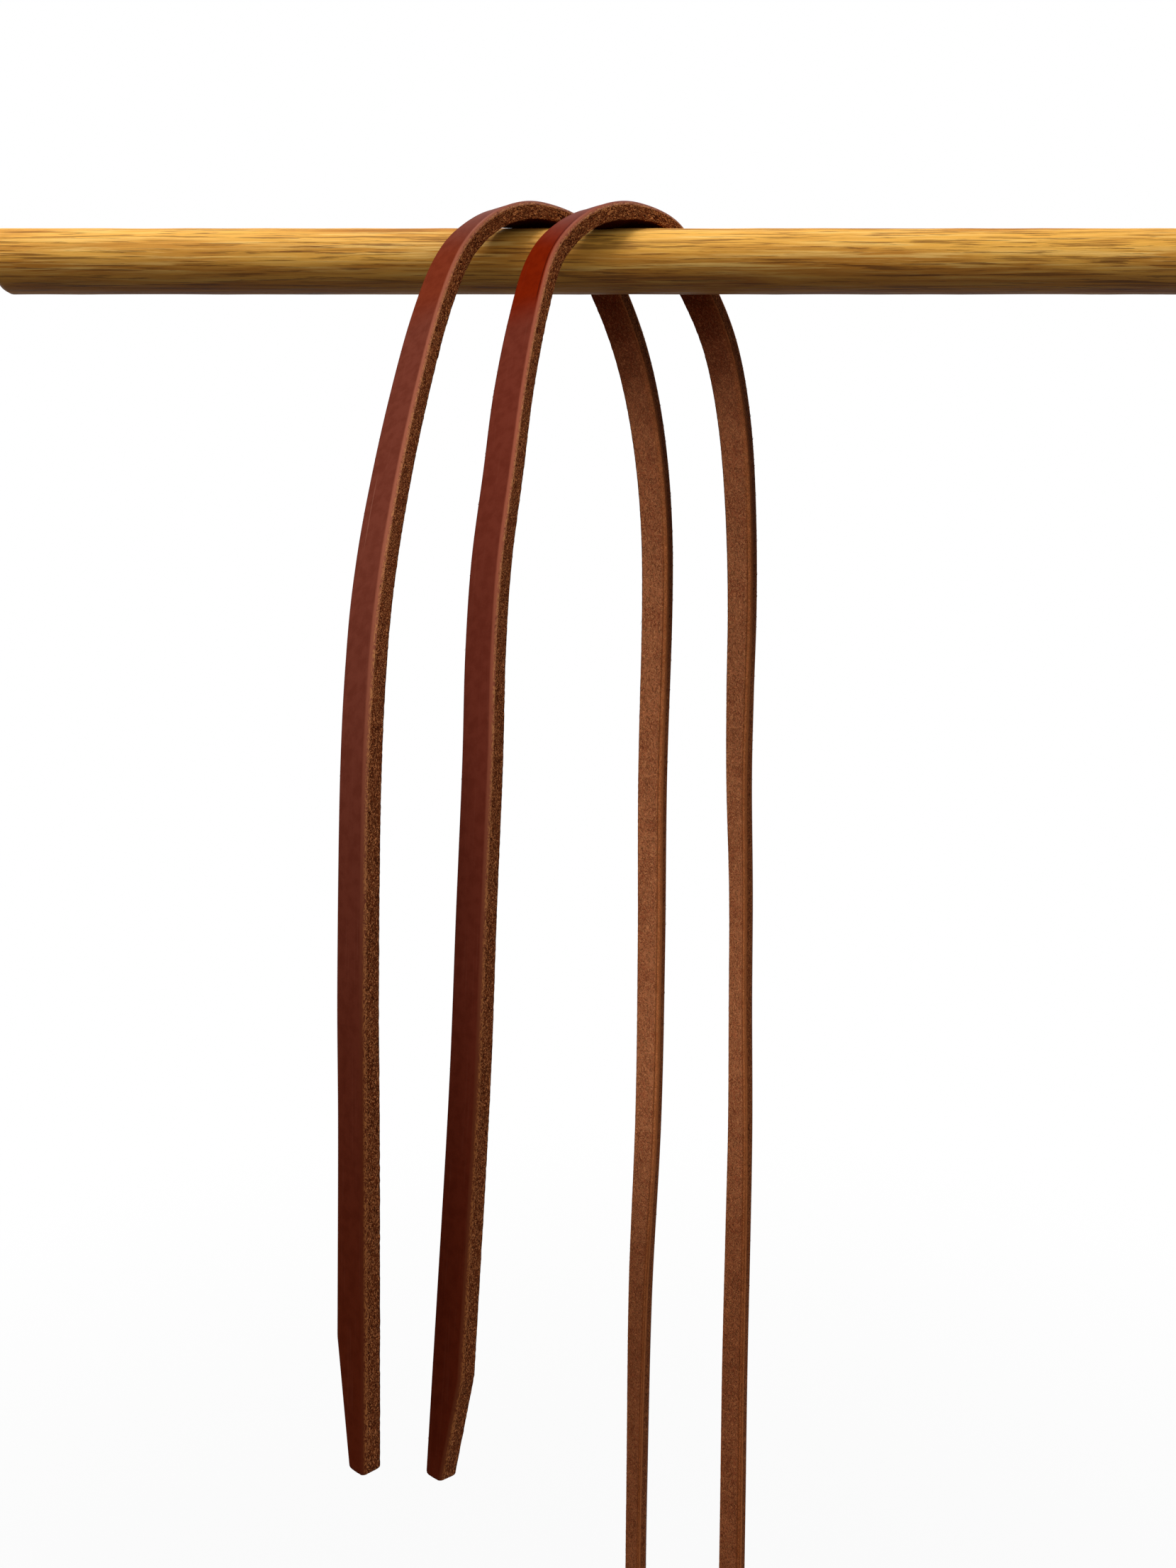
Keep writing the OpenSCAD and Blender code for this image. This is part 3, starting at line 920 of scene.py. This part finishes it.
def buildStrap(strap, grain):
    rings = strapRings(strap)
    body = makeStrap(strap, rings, [makeGrain(grain), edgeMaterial, fleshMaterial])
    nap = makeNap(strap, rings, napMaterial)
    for piece in (body, nap):
        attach(piece, strap["node"])
    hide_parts(strap["node"])
    print(strap["name"], "built:", len(body.data.polygons), "faces,", round(rings["length"], 4), "m long")


buildStrap(leftStrap, leftGrain)
buildStrap(rightStrap, rightGrain)


# ---- rail, floor and backdrop, which aren't part of the straps

rail = {
    "radius": 0.011,
    "left": -0.213,
    "right": 0.42,
    "sides": 96,
    "rings": 420,
    "light": fromScreen(248, 202, 114),
    "gold": fromScreen(236, 174, 74),
    "dark": fromScreen(192, 126, 42),
    "line": fromScreen(104, 58, 14),
    # painted shade on the rail's underside
    "under": (0.2, 0.15, 0.08, 1),
}


def makeOak(finish):
    material, tree, shader = newMaterial("oakRail", {"Roughness": 0.6, "Specular IOR Level": 0.12})
    where = addNode(tree, "ShaderNodeTexCoord", -1300, 0)
    links = tree.links

    def streaks(stretch, distortion, y):
        mapping = addNode(tree, "ShaderNodeMapping", -1100, y, None, {"Scale": stretch})
        texture = addNode(tree, "ShaderNodeTexNoise", -850, y, None,
                          {"Scale": 1.0, "Detail": 6.0, "Roughness": 0.6, "Distortion": distortion})
        links.new(where.outputs["Object"], mapping.inputs["Vector"])
        links.new(mapping.outputs[0], texture.inputs["Vector"])
        return texture.outputs["Fac"]

    broad = streaks((9.0, 120.0, 120.0), 0.5, 0)
    fine = streaks((22.0, 800.0, 800.0), 0.5, -300)
    pores = streaks((34.0, 1500.0, 1500.0), 0.3, -600)
    colour = mixColours(tree, mapRange(tree, broad, 0.36, 0.6), finish["dark"], finish["gold"])
    colour = mixColours(tree, mapRange(tree, fine, 0.48, 0.7, 0.0, 0.8), colour, finish["light"])
    colour = mixColours(tree, mapRange(tree, fine, 0.44, 0.37, 0.0, 0.6), colour, finish["line"])
    colour = mixColours(tree, mapRange(tree, pores, 0.56, 0.62, 0.0, 0.7), colour, finish["line"])
    split = addNode(tree, "ShaderNodeSeparateXYZ", -850, 300)
    links.new(where.outputs["Object"], split.inputs[0])
    # darker on the underside: painted shade
    undersideShadeShare = mapRange(tree, split.outputs["Z"], 0.0, -0.0105)
    colour = mixColours(tree, undersideShadeShare, colour, mixColours(tree, 1.0, colour, finish["under"], "MULTIPLY"))
    links.new(colour, shader.inputs["Base Color"])
    bump = addNode(tree, "ShaderNodeBump", -250, -300, None, {"Strength": 0.5, "Distance": 0.0005})
    links.new(mathNode(tree, "ADD", fine, pores), bump.inputs["Height"])
    links.new(bump.outputs["Normal"], shader.inputs["Normal"])
    return material


def makeRail(setup):
    turns = np.arange(setup["sides"]) * 2 * math.pi / setup["sides"]
    x = np.linspace(setup["left"], setup["right"], setup["rings"])
    circle = np.stack([np.cos(turns), np.sin(turns)], axis=1)
    radius = np.full((len(x), setup["sides"]), setup["radius"])
    radius[0] -= 0.0008
    radius[-1] -= 0.0008
    xs = np.repeat(x[:, None], setup["sides"], axis=1)
    points = np.stack([xs, radius * circle[:, 0], radius * circle[:, 1]], axis=2)
    dips = noiseAt(points.reshape(-1, 3) * np.array([0.12, 1, 1]), 260, 5).reshape(radius.shape)
    points[:, :, 1:] *= (1 - 0.00022 * np.abs(dips) / setup["radius"])[:, :, None]
    points = points.reshape(-1, 3)
    faces = []
    for r in range(len(x) - 1):
        a, b = r * setup["sides"], (r + 1) * setup["sides"]
        for s in range(setup["sides"]):
            n = (s + 1) % setup["sides"]
            faces.append([a + s, a + n, b + n, b + s])
    lastRing = (len(x) - 1) * setup["sides"]
    faces.append([s for s in range(setup["sides"])][::-1])
    faces.append([lastRing + s for s in range(setup["sides"])])
    made = makeObject("oakRail", points, faces, [makeOak(setup)])


makeRail(rail)
print("rail made")

studio = {
    "floorDrop": 0.018,  # below the lowest point of the straps
    "floorSize": 12.0,
    "floorShade": (0.7, 0.7, 0.7, 1),
    "whiteShare": 0.92,  # near the straps, rising to 1 further off
    "fadeFrom": 0.35,
    "fadeTo": 1.6,
    "fillAbove": 0.36,
    "fillBelow": 0.1,
}


def makeFloor(setup):
    material = bpy.data.materials.new("paleFloor")
    material.use_nodes = True
    tree = material.node_tree
    tree.nodes.clear()
    out = addNode(tree, "ShaderNodeOutputMaterial", 400, 0)
    diffuse = addNode(tree, "ShaderNodeBsdfDiffuse", -200, 100, None, {"Color": setup["floorShade"]})
    white = addNode(tree, "ShaderNodeEmission", -200, -100, None, {"Color": (1, 1, 1, 1), "Strength": 1.0})
    mixed = addNode(tree, "ShaderNodeMixShader", 100, 0)
    path = addNode(tree, "ShaderNodeLightPath", -600, 0)
    seen = mathNode(tree, "MAXIMUM", path.outputs["Is Camera Ray"], path.outputs["Is Glossy Ray"], -400, 0)
    where = addNode(tree, "ShaderNodeTexCoord", -1000, -200)
    reach = addNode(tree, "ShaderNodeVectorMath", -800, -200, {"operation": "LENGTH"})
    flat = addNode(tree, "ShaderNodeVectorMath", -900, -350, {"operation": "MULTIPLY"}, {1: (1, 1, 0)})
    tree.links.new(where.outputs["Object"], flat.inputs[0])
    tree.links.new(flat.outputs[0], reach.inputs[0])
    fade = mapRange(tree, reach.outputs["Value"], setup["fadeFrom"], setup["fadeTo"], setup["whiteShare"], 1.0)
    share = mathNode(tree, "MULTIPLY", seen, fade, -250, 0)
    tree.links.new(share, mixed.inputs[0])
    tree.links.new(diffuse.outputs[0], mixed.inputs[1])
    tree.links.new(white.outputs[0], mixed.inputs[2])
    tree.links.new(mixed.outputs[0], out.inputs["Surface"])
    half = setup["floorSize"] / 2
    level = cadBox[0].z - setup["floorDrop"]
    corners = np.array([[-half, -half, level], [half, -half, level], [half, half, level], [-half, half, level]])
    makeObject("floor", corners, [[0, 1, 2, 3]], [material])


def makeWorld(setup):
    world = bpy.data.worlds.new("studioWorld")
    world.use_nodes = True
    tree = world.node_tree
    tree.nodes.clear()
    out = addNode(tree, "ShaderNodeOutputWorld", 400, 0)
    where = addNode(tree, "ShaderNodeTexCoord", -900, 300)
    split = addNode(tree, "ShaderNodeSeparateXYZ", -700, 300)
    tree.links.new(where.outputs["Generated"], split.inputs[0])
    level = mapRange(tree, split.outputs["Z"], -0.5, 0.4, setup["fillBelow"], setup["fillAbove"], -450, 300)
    fill = addNode(tree, "ShaderNodeBackground", -100, 100, None, {"Color": (1, 1, 1, 1)})
    tree.links.new(level, fill.inputs["Strength"])
    white = addNode(tree, "ShaderNodeBackground", -100, -100, None, {"Color": (1, 1, 1, 1), "Strength": 1.0})
    mixed = addNode(tree, "ShaderNodeMixShader", 200, 0)
    path = addNode(tree, "ShaderNodeLightPath", -600, 0)
    seen = mathNode(tree, "MAXIMUM", path.outputs["Is Camera Ray"], path.outputs["Is Glossy Ray"], -400, 0)
    seen = mathNode(tree, "MAXIMUM", seen, path.outputs["Is Transmission Ray"], -250, 0)
    tree.links.new(seen, mixed.inputs[0])
    tree.links.new(fill.outputs[0], mixed.inputs[1])
    tree.links.new(white.outputs[0], mixed.inputs[2])
    tree.links.new(mixed.outputs[0], out.inputs["Surface"])
    bpy.context.scene.world = world


lamps = [
    {"name": "topSoft", "place": (-0.25, -0.35, 1.1), "aim": (0, 0, -0.1), "size": (0.7, 0.7), "power": 13.0},
    {"name": "frontSoft", "place": (-1.1, -1.7, 0.6), "aim": (0, 0, -0.4), "size": (1.2, 1.6), "power": 6.5},
    {"name": "sideSoft", "place": (1.5, -1.2, 0.5), "aim": (0, 0, -0.4), "size": (1.0, 1.6), "power": 5.5},
]


def makeLamp(setup):
    data = bpy.data.lights.new(setup["name"], "AREA")
    data.shape = "RECTANGLE"
    data.size, data.size_y = setup["size"]
    data.energy = setup["power"]
    lamp = bpy.data.objects.new(setup["name"], data)
    lamp.location = setup["place"]
    direction = Vector(setup["aim"]) - Vector(setup["place"])
    lamp.rotation_euler = direction.to_track_quat("-Z", "Y").to_euler()
    bpy.context.scene.collection.objects.link(lamp)


makeFloor(studio)
makeWorld(studio)
for lamp in lamps:
    makeLamp(lamp)
print("studio made")
